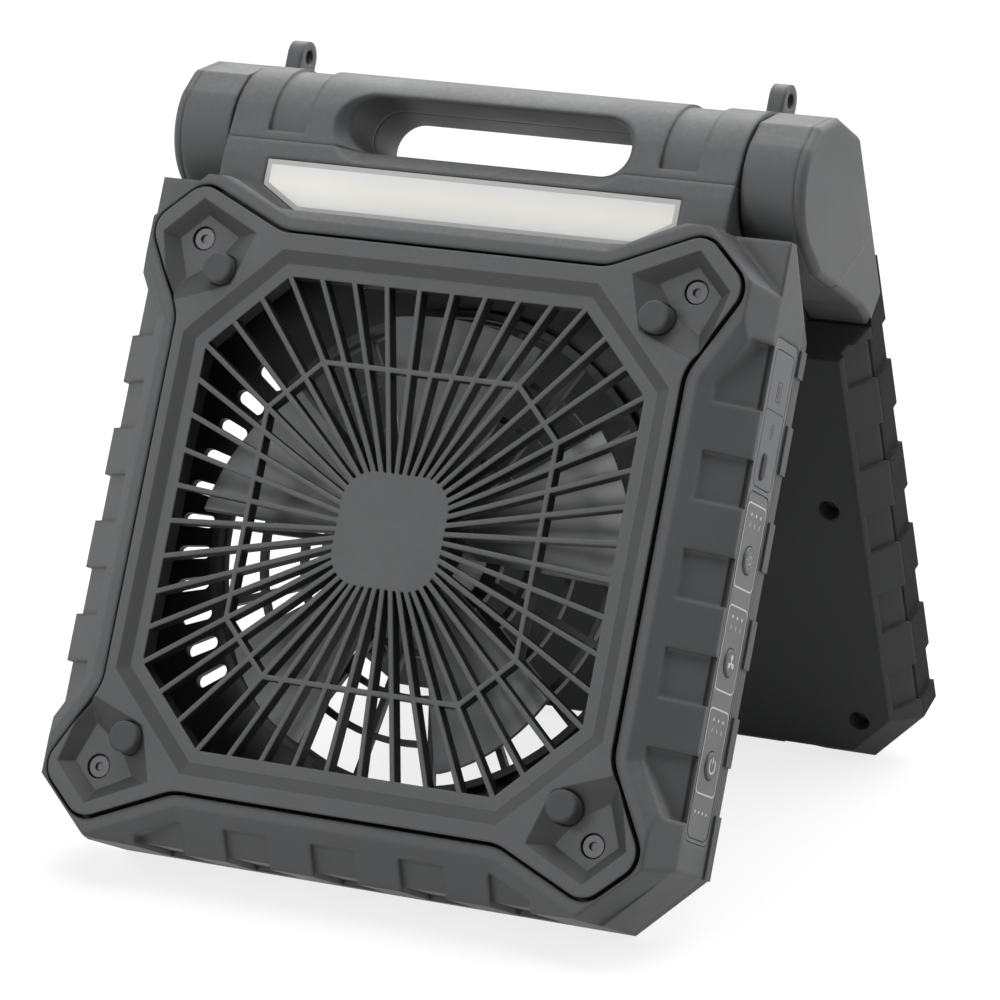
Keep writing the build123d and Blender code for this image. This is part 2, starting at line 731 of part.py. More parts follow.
frame = prism(rear_points, solar_z, side_z) - both(ear)
frame -= prism(grown(plate_points, -skin), floor_z, side_z)
frame -= glass_room
for px, py in plate_screws:
    frame += both(rod(px, py, floor_z - 1, tube_z, tube_r - 0.4) - rod(px, py, floor_z + 0.5, 0, bore_r))
left_cap = mirror(ear_cap, about=Plane.YZ)

# Armour recesses round the edge of the solar panel
side_recess = recess((rear_half - plate_bevel, plate_z), (rear_half, side_z), rear_pad_depth, solar_z - 2)
foot_recess = recess((drop - plate_bevel, plate_z), (drop, side_z), rear_pad_depth, solar_z - 2)
rear_pads = []
for k in range(5):
    rear_pads.append(both(rail(side_recess, rear_pad_top - k * rear_pad_pitch, pad_size)))
    rear_pads.append(Rot(0, 0, -90) * rail(foot_recess, (k - 2) * rear_pad_pitch, pad_size))
frame -= rear_pads

# Inner plate of the solar panel
plate = tapered(plate_points, side_z, grown(plate_points, -plate_bevel), plate_z)
inside = grown(plate_points, -plate_skin)
plate -= tapered(inside, side_z - 0.01, grown(inside, -plate_bevel), plate_z - plate_skin)
plate -= rear_pads
plate_screw_set = Part()
head_z = tube_z + 2
for px, py in plate_screws:
    plate += both(rod(px, py, tube_z, plate_z, tube_r))
    plate -= both(rod(px, py, head_z, far, head_r + slip) + rod(px, py, -far, far, bore_r))
    one = screw(px, py, floor_z + 1, head_z + head_h, False) - drive(px, py, head_z + head_h)
    plate_screw_set += both(one)


# Solar laminate: backing sheet, cells and glass
def layer(low, high):
    half = glass_half - glass_edge
    return box(-half, half, glass_bottom + glass_edge, glass_top - glass_edge, low, high)


sheet_z = solar_z + glass_depth
cells_z = sheet_z - 1.4
backsheet = layer(sheet_z - 1, sheet_z)
glass = layer(cells_z - 2, cells_z)
step_x = 2 * (glass_half - cell_border) / cell_columns
step_y = (glass_top - glass_bottom - 2 * cell_border) / cell_rows
wafers = []
for i in range(cell_columns):
    for j in range(cell_rows):
        cx = (i - (cell_columns - 1) / 2) * step_x
        cy = (glass_top + glass_bottom) / 2 + (j - (cell_rows - 1) / 2) * step_y
        wafers.append(Pos(cx, cy, cells_z + 0.2) * Box(step_x - cell_space, step_y - cell_space, 0.4))
solar_cells = Part() + wafers

front_nodes = {
    "front_housing": housing,
    "handle_front": handle_front,
    "back_cover": cover,
    "handle_back": handle,
    "hanging_eyes": eyes,
    "front_grille": grille,
    "grille_screws": grille_screw_set,
    "bumpers": bumper_set,
    "cover_screws": cover_screw_set,
    "motor_screws": motor_screw_set,
    "handle_screws": handle_screw_set,
    "light_diffuser": diffuser,
    "light_board": led_board,
    "light_chips": led_chips,
    "fan_rotor": rotor,
    "motor_shaft": shaft,
    "motor_body": motor,
    "battery_cells": cells,
    "battery_tray": battery_tray,
    "control_board": control_board,
    "tact_switches": tact_switches,
    "usb_a_socket": usb_a_socket,
    "usb_c_socket": usb_c_socket,
    "control_strip": strip,
    "port_flap": flap,
    "hinge_pins": pin,
    "hinge_clips": clips,
}
front_nodes.update(buttons)
rear_nodes = {
    "solar_frame": frame,
    "hinge_ears": hinge_ears,
    "right_ear_cap": ear_cap,
    "left_ear_cap": left_cap,
    "inner_plate": plate,
    "plate_screws": plate_screw_set,
    "solar_backsheet": backsheet,
    "solar_cells": solar_cells,
    "solar_glass": glass,
    "hinge_bushes": bushes,
    "friction_washers": washers,
}

# Stand the open frame on the floor: both bottom edges level, origin under the middle of its box
turn = radians(open_angle)
rear_y = -drop * cos(turn) - side_z * sin(turn)
rear_z = -drop * sin(turn) + side_z * cos(turn)
lean = degrees(atan2(drop + rear_y, back_z - rear_z))
placed = {}
for name, part in front_nodes.items():
    placed[name] = Rot(90 - lean, 0, 0) * part
for name, part in rear_nodes.items():
    placed[name] = Rot(90 - lean + open_angle, 0, 0) * part
boxes = [part.bounding_box() for part in placed.values()]
middle_x = (min(b.min.X for b in boxes) + max(b.max.X for b in boxes)) / 2
middle_y = (min(b.min.Y for b in boxes) + max(b.max.Y for b in boxes)) / 2
stand = Pos(-middle_x, -middle_y, -min(b.min.Z for b in boxes))
for name, part in placed.items():
    export_step(stand * part, f"parts/{name}.step")
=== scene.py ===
"""Looks of the folding solar fan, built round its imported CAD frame. Lengths are in metres."""
import json
import math

import bpy
from mathutils import Matrix, Vector


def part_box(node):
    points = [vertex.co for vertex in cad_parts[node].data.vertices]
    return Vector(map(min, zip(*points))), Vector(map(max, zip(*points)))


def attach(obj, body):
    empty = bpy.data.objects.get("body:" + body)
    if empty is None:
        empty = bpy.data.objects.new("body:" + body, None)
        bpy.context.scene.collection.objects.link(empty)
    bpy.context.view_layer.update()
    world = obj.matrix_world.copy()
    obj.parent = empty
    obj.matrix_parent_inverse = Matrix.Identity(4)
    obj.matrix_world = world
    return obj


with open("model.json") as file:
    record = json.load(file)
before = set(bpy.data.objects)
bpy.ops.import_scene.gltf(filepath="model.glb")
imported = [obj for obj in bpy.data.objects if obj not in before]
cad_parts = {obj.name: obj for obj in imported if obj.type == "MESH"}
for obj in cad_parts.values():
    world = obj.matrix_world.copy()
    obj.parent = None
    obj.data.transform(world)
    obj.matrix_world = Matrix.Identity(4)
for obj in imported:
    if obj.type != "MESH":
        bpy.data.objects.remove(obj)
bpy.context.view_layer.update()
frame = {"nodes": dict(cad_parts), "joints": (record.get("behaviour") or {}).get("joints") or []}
nodes = frame["nodes"]
joints = {joint["name"]: joint for joint in frame["joints"]}
MM = 0.001


# The fan panel has its own axes: x along the hinge, y up the panel, z out of the fan face
def panel_axes(tilt):
    turn = Matrix.Rotation(math.radians(90) - tilt, 4, "X")
    return Matrix.Translation(hinge) @ turn


def middle(node):
    low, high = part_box(node)
    return (low + high) / 2


hinge = middle("hinge_pins")
blow = Vector(joints["fan_spin"]["axis"])
lean = math.atan2(blow.z, -blow.y)
open_angle = -math.radians(joints["panel_fold"]["range_deg"][0])
fan_axes = panel_axes(lean)


def on_fan(x, y, z):
    return fan_axes @ Vector((x, y, z))


def in_fan(point):
    return fan_axes.inverted() @ point


strip_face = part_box("control_strip")[1].x
button_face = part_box("power_button")[1].x


# Shader helpers
def add(tree, kind, values=None, **settings):
    made = tree.nodes.new("ShaderNode" + kind)
    for key, value in settings.items():
        setattr(made, key, value)
    for key, value in (values or {}).items():
        made.inputs[key].default_value = value
    return made


def wire(tree, *pairs):
    for source, target in pairs:
        tree.links.new(source, target)


def new_group(name, inputs, outputs):
    tree = bpy.data.node_groups.new(name, "ShaderNodeTree")
    for label, kind, value in inputs:
        socket = tree.interface.new_socket(label, in_out="INPUT", socket_type="NodeSocket" + kind)
        socket.default_value = value
    for label, kind in outputs:
        tree.interface.new_socket(label, in_out="OUTPUT", socket_type="NodeSocket" + kind)
    return tree, tree.nodes.new("NodeGroupInput").outputs, tree.nodes.new("NodeGroupOutput").inputs


def use(tree, group, **values):
    made = tree.nodes.new("ShaderNodeGroup")
    made.node_tree = group
    for key, value in values.items():
        made.inputs[key].default_value = value
    return made


def noise(tree, scale, detail=2.0, roughness=0.5):
    coords = add(tree, "TexCoord")
    made = add(tree, "TexNoise", {"Scale": scale, "Detail": detail, "Roughness": roughness})
    wire(tree, (coords.outputs["Object"], made.inputs["Vector"]))
    return made


def remap(tree, source, low, high, to_low=0.0, to_high=1.0):
    made = add(tree, "MapRange", {"From Min": low, "From Max": high, "To Min": to_low, "To Max": to_high})
    wire(tree, (source, made.inputs["Value"]))
    return made.outputs["Result"]


def blend_colour(tree, factor, first, second):
    made = add(tree, "Mix", data_type="RGBA")
    wire(tree, (factor, made.inputs["Factor"]))
    for socket, colour in ((made.inputs["A"], first), (made.inputs["B"], second)):
        if isinstance(colour, tuple):
            socket.default_value = (*colour, 1)
        else:
            wire(tree, (colour, socket))
    return made.outputs["Result"]


# Spark-eroded mould texture: a fine height, slow mottling and a roughness that follows it
def make_grain_group():
    tree, given, out = new_group(
        "mould_grain",
        [("Scale", "Float", 2400.0), ("Smooth", "Float", 0.5), ("Rough", "Float", 0.65)],
        [("Height", "Float"), ("Mottle", "Float"), ("Roughness", "Float")],
    )
    fine = noise(tree, 2400.0, 3.0, 0.6)
    broad = noise(tree, 22.0, 4.0, 0.6)
    wire(tree, (given["Scale"], fine.inputs["Scale"]))
    mottle = remap(tree, broad.outputs["Fac"], 0.3, 0.7)
    sheen = add(tree, "MapRange")
    wire(
        tree,
        (fine.outputs["Fac"], out["Height"]),
        (mottle, out["Mottle"]),
        (mottle, sheen.inputs["Value"]),
        (given["Smooth"], sheen.inputs["To Min"]),
        (given["Rough"], sheen.inputs["To Max"]),
        (sheen.outputs["Result"], out["Roughness"]),
    )
    return tree


# Rounded edges as a normal, and a broken mask where handling rubs them
def make_edge_group():
    tree, given, out = new_group(
        "rubbed_edges",
        [("Radius", "Float", 0.0008), ("Rub", "Float", 0.6)],
        [("Mask", "Float"), ("Normal", "Vector")],
    )
    rounded = add(tree, "Bevel", samples=6)
    true_face = add(tree, "NewGeometry")
    agree = add(tree, "VectorMath", operation="DOT_PRODUCT")
    scratch = noise(tree, 260.0, 4.0, 0.65)
    broken = add(tree, "Math", operation="MULTIPLY")
    scaled = add(tree, "Math", operation="MULTIPLY", use_clamp=True)
    wire(
        tree,
        (given["Radius"], rounded.inputs["Radius"]),
        (rounded.outputs["Normal"], agree.inputs[0]),
        (true_face.outputs["Normal"], agree.inputs[1]),
        (remap(tree, agree.outputs["Value"], 0.99, 0.8), broken.inputs[0]),
        (remap(tree, scratch.outputs["Fac"], 0.35, 0.65), broken.inputs[1]),
        (broken.outputs["Value"], scaled.inputs[0]),
        (given["Rub"], scaled.inputs[1]),
        (scaled.outputs["Value"], out["Mask"]),
        (rounded.outputs["Normal"], out["Normal"]),
    )
    return tree


# Fine dust that settles on what faces up
def make_dust_group():
    tree, given, out = new_group("settled_dust", [("Amount", "Float", 0.2)], [("Mask", "Float")])
    coords = add(tree, "TexCoord")
    split = add(tree, "SeparateXYZ")
    specks = noise(tree, 420.0, 5.0, 0.7)
    gather = add(tree, "Math", operation="MULTIPLY")
    scaled = add(tree, "Math", operation="MULTIPLY", use_clamp=True)
    wire(
        tree,
        (coords.outputs["Normal"], split.inputs["Vector"]),
        (remap(tree, split.outputs["Z"], 0.25, 1.0), gather.inputs[0]),
        (remap(tree, specks.outputs["Fac"], 0.45, 0.75), gather.inputs[1]),
        (gather.outputs["Value"], scaled.inputs[0]),
        (given["Amount"], scaled.inputs[1]),
        (scaled.outputs["Value"], out["Mask"]),
    )
    return tree


mould_grain = make_grain_group()
rubbed_edges = make_edge_group()
settled_dust = make_dust_group()


def new_material(name):
    material = bpy.data.materials.new(name)
    material.use_nodes = True
    tree = material.node_tree
    return material, tree, tree.nodes["Principled BSDF"]


def lighter(colour, factor):
    return tuple(channel * factor for channel in colour)


# How finishes vary: share of mottling, how much paler rubbed edges are, dust, depths of grain in millimetres
MOTTLE = 0.07
METAL_DARK = 0.85
METAL_PALE = 1.1
RUBBED_PLASTIC = 1.5
RUBBED_METAL = 1.35
DUST = (0.32, 0.31, 0.30)
PLASTIC_GRAIN = 0.1
FINE_GRAIN = 0.05


# A moulded or coated finish: mottled colour, rubbed edges, dust, grain
def moulded(
    name,
    colour,
    smooth=0.5,
    rough=0.66,
    grain=2400.0,
    bump=0.25,
    edge=1.1,
    rub=0.5,
    dust=0.12,
    specular=0.5,
):
    material, tree, shader = new_material(name)
    skin = use(tree, mould_grain, Scale=grain, Smooth=smooth, Rough=rough)
    edges = use(tree, rubbed_edges, Radius=edge * MM, Rub=rub)
    dusty = use(tree, settled_dust, Amount=dust)
    dark, pale = lighter(colour, 1 - MOTTLE), lighter(colour, 1 + MOTTLE)
    body = blend_colour(tree, skin.outputs["Mottle"], dark, pale)
    rubbed = blend_colour(tree, edges.outputs["Mask"], body, lighter(colour, RUBBED_PLASTIC))
    powdered = blend_colour(tree, dusty.outputs["Mask"], rubbed, DUST)
    height = add(tree, "Bump", {"Strength": bump, "Distance": PLASTIC_GRAIN * MM})
    wire(
        tree,
        (powdered, shader.inputs["Base Color"]),
        (skin.outputs["Roughness"], shader.inputs["Roughness"]),
        (skin.outputs["Height"], height.inputs["Height"]),
        (edges.outputs["Normal"], height.inputs["Normal"]),
        (height.outputs["Normal"], shader.inputs["Normal"]),
    )
    shader.inputs["Specular IOR Level"].default_value = specular
    return material


def base_colour(material):
    shader = material.node_tree.nodes["Principled BSDF"]
    return shader.inputs["Base Color"], shader.inputs["Base Color"].links[0].from_socket


# Grille plastic with painted shade: bevels, and still more the spokes' flanks, are painted darker than faces
# that look along the blow, standing in for the shade that falls on them
def grille_plastic_painted_shade(name, colour):
    material = moulded(name, colour, smooth=0.5, rough=0.64, edge=1.2)
    tree = material.node_tree
    socket, body = base_colour(material)
    coords = add(tree, "TexCoord")
    facing = add(tree, "VectorMath", {1: blow}, operation="DOT_PRODUCT")
    wire(tree, (coords.outputs["Normal"], facing.inputs[0]))
    # Painted shade: bevels are painted at half the grey and flanks at a tenth of it
    painted_shade_on_bevels = remap(tree, facing.outputs["Value"], 0.98, 0.94)
    painted_shade_on_flanks = remap(tree, facing.outputs["Value"], 0.8, 0.1)
    bevels_painted_darker = blend_colour(tree, painted_shade_on_bevels, body, lighter(colour, 0.5))
    flanks_painted_darker = blend_colour(tree, painted_shade_on_flanks, bevels_painted_darker, lighter(colour, 0.1))
    wire(tree, (flanks_painted_darker, socket))
    return material


# Metal with a fine turned grain
def metal(name, colour, smooth=0.25, rough=0.4, grain=1800.0, bump=0.12):
    material, tree, shader = new_material(name)
    skin = use(tree, mould_grain, Scale=grain, Smooth=smooth, Rough=rough)
    edges = use(tree, rubbed_edges, Radius=0.3 * MM, Rub=0.6)
    dark, pale = lighter(colour, METAL_DARK), lighter(colour, METAL_PALE)
    body = blend_colour(tree, skin.outputs["Mottle"], dark, pale)
    rubbed = blend_colour(tree, edges.outputs["Mask"], body, lighter(colour, RUBBED_METAL))
    height = add(tree, "Bump", {"Strength": bump, "Distance": FINE_GRAIN * MM})
    wire(
        tree,
        (rubbed, shader.inputs["Base Color"]),
        (skin.outputs["Roughness"], shader.inputs["Roughness"]),
        (skin.outputs["Height"], height.inputs["Height"]),
        (edges.outputs["Normal"], height.inputs["Normal"]),
        (height.outputs["Normal"], shader.inputs["Normal"]),
    )
    shader.inputs["Metallic"].default_value = 1.0
    return material


shell_grey = (0.062, 0.0633, 0.0655)
charcoal = (0.024, 0.0243, 0.025)
shell = moulded("shell_plastic", shell_grey, edge=2.4)
solar_shell = moulded("solar_panel_plastic", lighter(charcoal, 0.6), smooth=0.68, rough=0.82, specular=0.1)
# Painted light: the inner plate's grey, 2.9 times the charcoal and a little over the shell grey, is raised to
# lift the deep shade it sits in between the panels
inner_plate_painted_light = moulded("inner_plate_plastic_painted_light", lighter(charcoal, 2.9), smooth=0.68, rough=0.82, specular=0.1)
grille_with_painted_shade = grille_plastic_painted_shade("grille_plastic_painted_shade", shell_grey)
strip_grey = lighter(shell_grey, 1.45)
strip_finish = moulded("control_strip_plastic", strip_grey, smooth=0.42, rough=0.55, grain=3200.0, edge=0.4)
rotor_grey = (0.24, 0.243, 0.248)
rotor_finish = moulded("rotor_plastic", rotor_grey, smooth=0.32, rough=0.45, grain=900.0, bump=0.08, edge=0.6)
# Painted shade: the back cover is the shell's grey plastic set at three quarters of the shell grey, for the
# shade inside the fan
back_cover_painted_shade = moulded("back_cover_plastic_painted_shade", lighter(shell_grey, 0.75), edge=0.6)
rubber_grey = (0.06, 0.061, 0.063)
rubber = moulded(
    "bumper_rubber", rubber_grey, smooth=0.7, rough=0.85, grain=1500.0, bump=0.35, rub=0.25, specular=0.3
)
button_rubber = moulded("button_rubber", lighter(shell_grey, 1.35), smooth=0.5, rough=0.65, edge=0.4, rub=0.4)
black_steel = metal("blackened_screws", (0.10, 0.10, 0.104), smooth=0.4, rough=0.55)
bright_steel = metal("bright_steel", (0.62, 0.62, 0.61))
nickel = metal("socket_nickel", (0.66, 0.64, 0.60), smooth=0.2, rough=0.32)
bronze = metal("bush_bronze", (0.50, 0.33, 0.17))
nylon = moulded("washer_nylon", (0.62, 0.60, 0.54), smooth=0.4, rough=0.5, bump=0.1)
circuit = moulded("circuit_board", (0.02, 0.11, 0.05), smooth=0.3, rough=0.42, bump=0.1, rub=0.2, dust=0.05)
board_white = (0.72, 0.72, 0.70)
light_circuit = moulded("light_board_white", board_white, smooth=0.4, rough=0.5, bump=0.1, rub=0.1, dust=0.0)
chip_yellow = (0.75, 0.52, 0.12)
chip_finish = moulded("light_chip", chip_yellow, smooth=0.3, rough=0.5, bump=0.1, rub=0.1, dust=0.0)
wrap_blue = (0.012, 0.017, 0.026)
wrap = moulded("cell_wrap", wrap_blue, smooth=0.25, rough=0.4, grain=400.0, bump=0.1, rub=0.2, dust=0.0)
tray_finish = moulded("tray_plastic", (0.03, 0.03, 0.032), dust=0.0)
switch_finish = moulded("switch_body", (0.03, 0.03, 0.032), dust=0.0)
sheet_finish = moulded("backing_sheet", (0.70, 0.70, 0.69), smooth=0.4, rough=0.55, dust=0.0)


# Printing ink, and the painted shade round the light cover: thin, even and matt
def ink_and_painted_shade(name, colour, smooth=0.45, rough=0.6):
    return moulded(name, colour, smooth=smooth, rough=rough, edge=0.05, rub=0.0, dust=0.0)


white_ink = ink_and_painted_shade("white_ink", (0.50, 0.50, 0.49))
grey_ink = ink_and_painted_shade("grey_ink", (0.30, 0.30, 0.30))
# Painted shade: the grey of the border round the light cover
painted_shade_border = ink_and_painted_shade("light_cover_painted_shade", (0.38, 0.38, 0.375))
dark_ink = ink_and_painted_shade("dark_ink", (0.02, 0.02, 0.021), smooth=0.5, rough=0.65)


# Rubber flap whose pull tab, the part that stands out past the strip, is darker from handling
def make_flap_rubber():
    flap_grey = lighter(shell_grey, 1.9)
    tab_grey = lighter(shell_grey, 0.4)
    material = moulded(
        "flap_rubber", flap_grey, smooth=0.6, rough=0.75, grain=2000.0, bump=0.3, edge=0.4, rub=0.2
    )
    tree = material.node_tree
    socket, body = base_colour(material)
    coords = add(tree, "TexCoord")
    split = add(tree, "SeparateXYZ")
    wire(tree, (coords.outputs["Object"], split.inputs["Vector"]))
    tab = remap(tree, split.outputs["X"], strip_face + 0.1 * MM, strip_face + 0.3 * MM)
    wire(tree, (blend_colour(tree, tab, body, tab_grey), socket))
    return material


# Positions turned about the hinge until the panel stands in its own axes, with the hinge where it is
def panel_coords(tree, tilt):
    coords = add(tree, "TexCoord")
    settings = {"Center": hinge, "Angle": tilt - math.radians(90)}
    turned = add(tree, "VectorRotate", settings, rotation_type="X_AXIS")
    split = add(tree, "SeparateXYZ")
    wire(
        tree,
        (coords.outputs["Object"], turned.inputs["Vector"]),
        (turned.outputs["Vector"], split.inputs["Vector"]),
    )
    return split


# Solar cells: dark blue wafers with fine dull fingers across and silver bus bars along the panel
FINGER_PITCH = 2.8
BAR_PITCH = 15.83


def make_silicon():
    material, tree, shader = new_material("solar_wafer")
    split = panel_coords(tree, lean - open_angle)
    skin = use(tree, mould_grain, Scale=700.0, Smooth=0.2, Rough=0.3)
    edges = use(tree, rubbed_edges, Radius=0.1 * MM, Rub=0.0)
    height = add(tree, "Bump", {"Strength": 0.08, "Distance": FINE_GRAIN * MM})
    body = blend_colour(tree, skin.outputs["Mottle"], (0.005, 0.009, 0.034), (0.010, 0.016, 0.052))
    for axis, pitch, width, silver in (
        ("Y", FINGER_PITCH * MM, 0.12, (0.05, 0.055, 0.075)),
        ("X", BAR_PITCH * MM, 0.075, (0.36, 0.37, 0.39)),
    ):
        steps = add(tree, "Math", {1: pitch}, operation="DIVIDE")
        part = add(tree, "Math", operation="FRACT")
        line = add(tree, "Math", {1: width}, operation="LESS_THAN")
        wire(
            tree,
            (split.outputs[axis], steps.inputs[0]),
            (steps.outputs["Value"], part.inputs[0]),
            (part.outputs["Value"], line.inputs[0]),
        )
        body = blend_colour(tree, line.outputs["Value"], body, silver)
    wire(
        tree,
        (body, shader.inputs["Base Color"]),
        (skin.outputs["Roughness"], shader.inputs["Roughness"]),
        (skin.outputs["Height"], height.inputs["Height"]),
        (edges.outputs["Normal"], height.inputs["Normal"]),
        (height.outputs["Normal"], shader.inputs["Normal"]),
    )
    return material


# Cover sheet over the cells: clear, with faint smears in its gloss
def make_glass():
    material, tree, shader = new_material("cover_sheet")
    skin = use(tree, mould_grain, Scale=300.0, Smooth=0.03, Rough=0.12)
    height = add(tree, "Bump", {"Strength": 0.02, "Distance": FINE_GRAIN * MM})
    tint = blend_colour(tree, skin.outputs["Mottle"], (0.93, 0.96, 0.97), (0.97, 0.98, 0.99))
    wire(
        tree,
        (tint, shader.inputs["Base Color"]),
        (skin.outputs["Roughness"], shader.inputs["Roughness"]),
        (skin.outputs["Height"], height.inputs["Height"]),
        (height.outputs["Normal"], shader.inputs["Normal"]),
    )
    shader.inputs["Transmission Weight"].default_value = 1.0
    shader.inputs["IOR"].default_value = 1.4
    return material


# Milky light cover: pale, slightly uneven, warmer along its middle, letting light into it, with a faint
# painted glow in its own colour
def make_diffuser():
    material, tree, shader = new_material("light_cover")
    skin = use(tree, mould_grain, Scale=1500.0, Smooth=0.28, Rough=0.4)
    edges = use(tree, rubbed_edges, Radius=0.6 * MM, Rub=0.3)
    split = panel_coords(tree, lean)
    row = add(tree, "Math", {1: in_fan(middle("light_diffuser")).y + hinge.y}, operation="SUBTRACT")
    away = add(tree, "Math", operation="ABSOLUTE")
    wire(tree, (split.outputs["Y"], row.inputs[0]), (row.outputs["Value"], away.inputs[0]))
    warm = remap(tree, away.outputs["Value"], 6 * MM, 1 * MM)
    milk = blend_colour(tree, skin.outputs["Mottle"], (0.54, 0.54, 0.53), (0.57, 0.57, 0.56))
    body = blend_colour(tree, warm, milk, (0.62, 0.605, 0.55))
    height = add(tree, "Bump", {"Strength": 0.05, "Distance": FINE_GRAIN * MM})
    wire(
        tree,
        (body, shader.inputs["Base Color"]),
        (body, shader.inputs["Emission Color"]),
        (skin.outputs["Roughness"], shader.inputs["Roughness"]),
        (skin.outputs["Height"], height.inputs["Height"]),
        (edges.outputs["Normal"], height.inputs["Normal"]),
        (height.outputs["Normal"], shader.inputs["Normal"]),
    )
    # Painted glow: a faint emission that brightens the cover
    shader.inputs["Emission Strength"].default_value = 0.06
    shader.inputs["Subsurface Weight"].default_value = 0.3
    shader.inputs["Subsurface Radius"].default_value = (0.004, 0.004, 0.004)
    return material


flap_rubber = make_flap_rubber()
silicon = make_silicon()
clear_sheet = make_glass()
light_cover = make_diffuser()

handle_pieces = ["handle_front", "handle_back", "hanging_eyes"]
ear_pieces = ["hinge_ears", "right_ear_cap", "left_ear_cap"]
finishes = {
    shell: ["front_housing", *handle_pieces, *ear_pieces],
    solar_shell: ["solar_frame"],
    inner_plate_painted_light: ["inner_plate"],
    back_cover_painted_shade: ["back_cover"],
    grille_with_painted_shade: ["front_grille"],
    strip_finish: ["control_strip"],
    rotor_finish: ["fan_rotor"],
    rubber: ["bumpers"],
    flap_rubber: ["port_flap"],
    button_rubber: ["light_button", "fan_button", "power_button"],
    black_steel: ["grille_screws", "cover_screws", "motor_screws", "handle_screws", "plate_screws"],
    bright_steel: ["motor_shaft", "motor_body", "hinge_pins", "hinge_clips"],
    nickel: ["usb_a_socket", "usb_c_socket"],
    bronze: ["hinge_bushes"],
    nylon: ["friction_washers"],
    circuit: ["control_board"],
    light_circuit: ["light_board"],
    chip_finish: ["light_chips"],
    wrap: ["battery_cells"],
    tray_finish: ["battery_tray"],
    switch_finish: ["tact_switches"],
    sheet_finish: ["solar_backsheet"],
    silicon: ["solar_cells"],
    clear_sheet: ["solar_glass"],
    light_cover: ["light_diffuser"],
}
for finish, names in finishes.items():
    for name in names:
        nodes[name].data.materials.clear()
        nodes[name].data.materials.append(finish)


# Printed marks on the right side, drawn as loops of (y up the panel, z towards the front) in millimetres
INK = 0.03
# Width of the painted shade round the light cover's face
PAINTED_SHADE_WIDTH = 1.7

# A control's frame: its reach above and below the button's middle, its sides, round corners and lines
FRAME_ABOVE = 18.2
FRAME_BELOW = 9.7
FRAME_BACK = 3.0
FRAME_FRONT = 19.6
FRAME_ROUND = 2.2
FRAME_END_LINE = 0.5
FRAME_SIDE_LINE = 0.3

# Rows of three dots and three ticks under the frame's top, and the row of charge dots under the last frame
MARK_STEP = 4.0
DOT_DROP = 3.7
DOT_R = 0.55
TICK_DROP = 7.1
TICK_HALF_LENGTH = 0.8
TICK_HALF_WIDTH = 0.4
CHARGE_DOTS = 4
CHARGE_STEP = 3.2
CHARGE_DROP = 15.4
CHARGE_FORWARD = 0.9
CHARGE_R = 0.5


def rounded(y0, y1, z0, z1, radius, steps=6):
    low_y, high_y = y0 + radius, y1 - radius
    low_z, high_z = z0 + radius, z1 - radius
    corners = ((high_y, high_z), (low_y, high_z), (low_y, low_z), (high_y, low_z))
    loop = []
    for quarter, (y, z) in enumerate(corners):
        for k in range(steps + 1):
            angle = math.radians(90) * (quarter + k / steps)
            loop.append((y + radius * math.cos(angle), z + radius * math.sin(angle)))
    return loop


def bar(y, z, half_y, half_z, radius, steps=6):
    return rounded(y - half_y, y + half_y, z - half_z, z + half_z, radius, steps)


def arc(y, z, radius, start, stop, steps=24):
    angles = [math.radians(start + (stop - start) * k / steps) for k in range(steps + 1)]
    return [(y + radius * math.cos(a), z + radius * math.sin(a)) for a in angles]


def disc(y, z, radius, steps=20):
    return arc(y, z, radius, 0, 360 - 360 / steps, steps - 1)


def hoop(y, z, radius, width):
    return disc(y, z, radius, 40), disc(y, z, radius - width, 40)


# Raises each shape, an outer loop and perhaps an inner one, to the thickness of the ink; the painted shade
# round the light cover is raised the same way
def stamp(name, shapes, place, finish, body):
    points, faces = [], []
    for outer, inner in shapes:
        count = len(outer)
        rows = []
        for loop in filter(None, (outer, inner)):
            for level in (0.0, INK):
                rows.append(len(points))
                points.extend(place(level, u, v) for u, v in loop)
        low, high = rows[:2]
        for k in range(count):
            n = (k + 1) % count
            faces.append((low + k, low + n, high + n, high + k))
            if inner:
                faces.append((rows[2] + n, rows[2] + k, rows[3] + k, rows[3] + n))
                faces.append((high + k, high + n, rows[3] + n, rows[3] + k))
                faces.append((low + n, low + k, rows[2] + k, rows[2] + n))
        if not inner:
            faces.append(tuple(range(high, high + count)))
            faces.append(tuple(reversed(range(low, low + count))))
    mesh = bpy.data.meshes.new(name)
    mesh.from_pydata(points, [], faces)
    mesh.materials.append(finish)
    piece = bpy.data.objects.new(name, mesh)
    bpy.context.collection.objects.link(piece)
    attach(piece, body)


def on_strip(level, y, z):
    return on_fan(strip_face + level * MM, y * MM, z * MM)


def on_button(level, y, z):
    return on_fan(button_face + level * MM, y * MM, z * MM)


def spot(node):
    place = in_fan(middle(node)) / MM
    return place.y, place.z


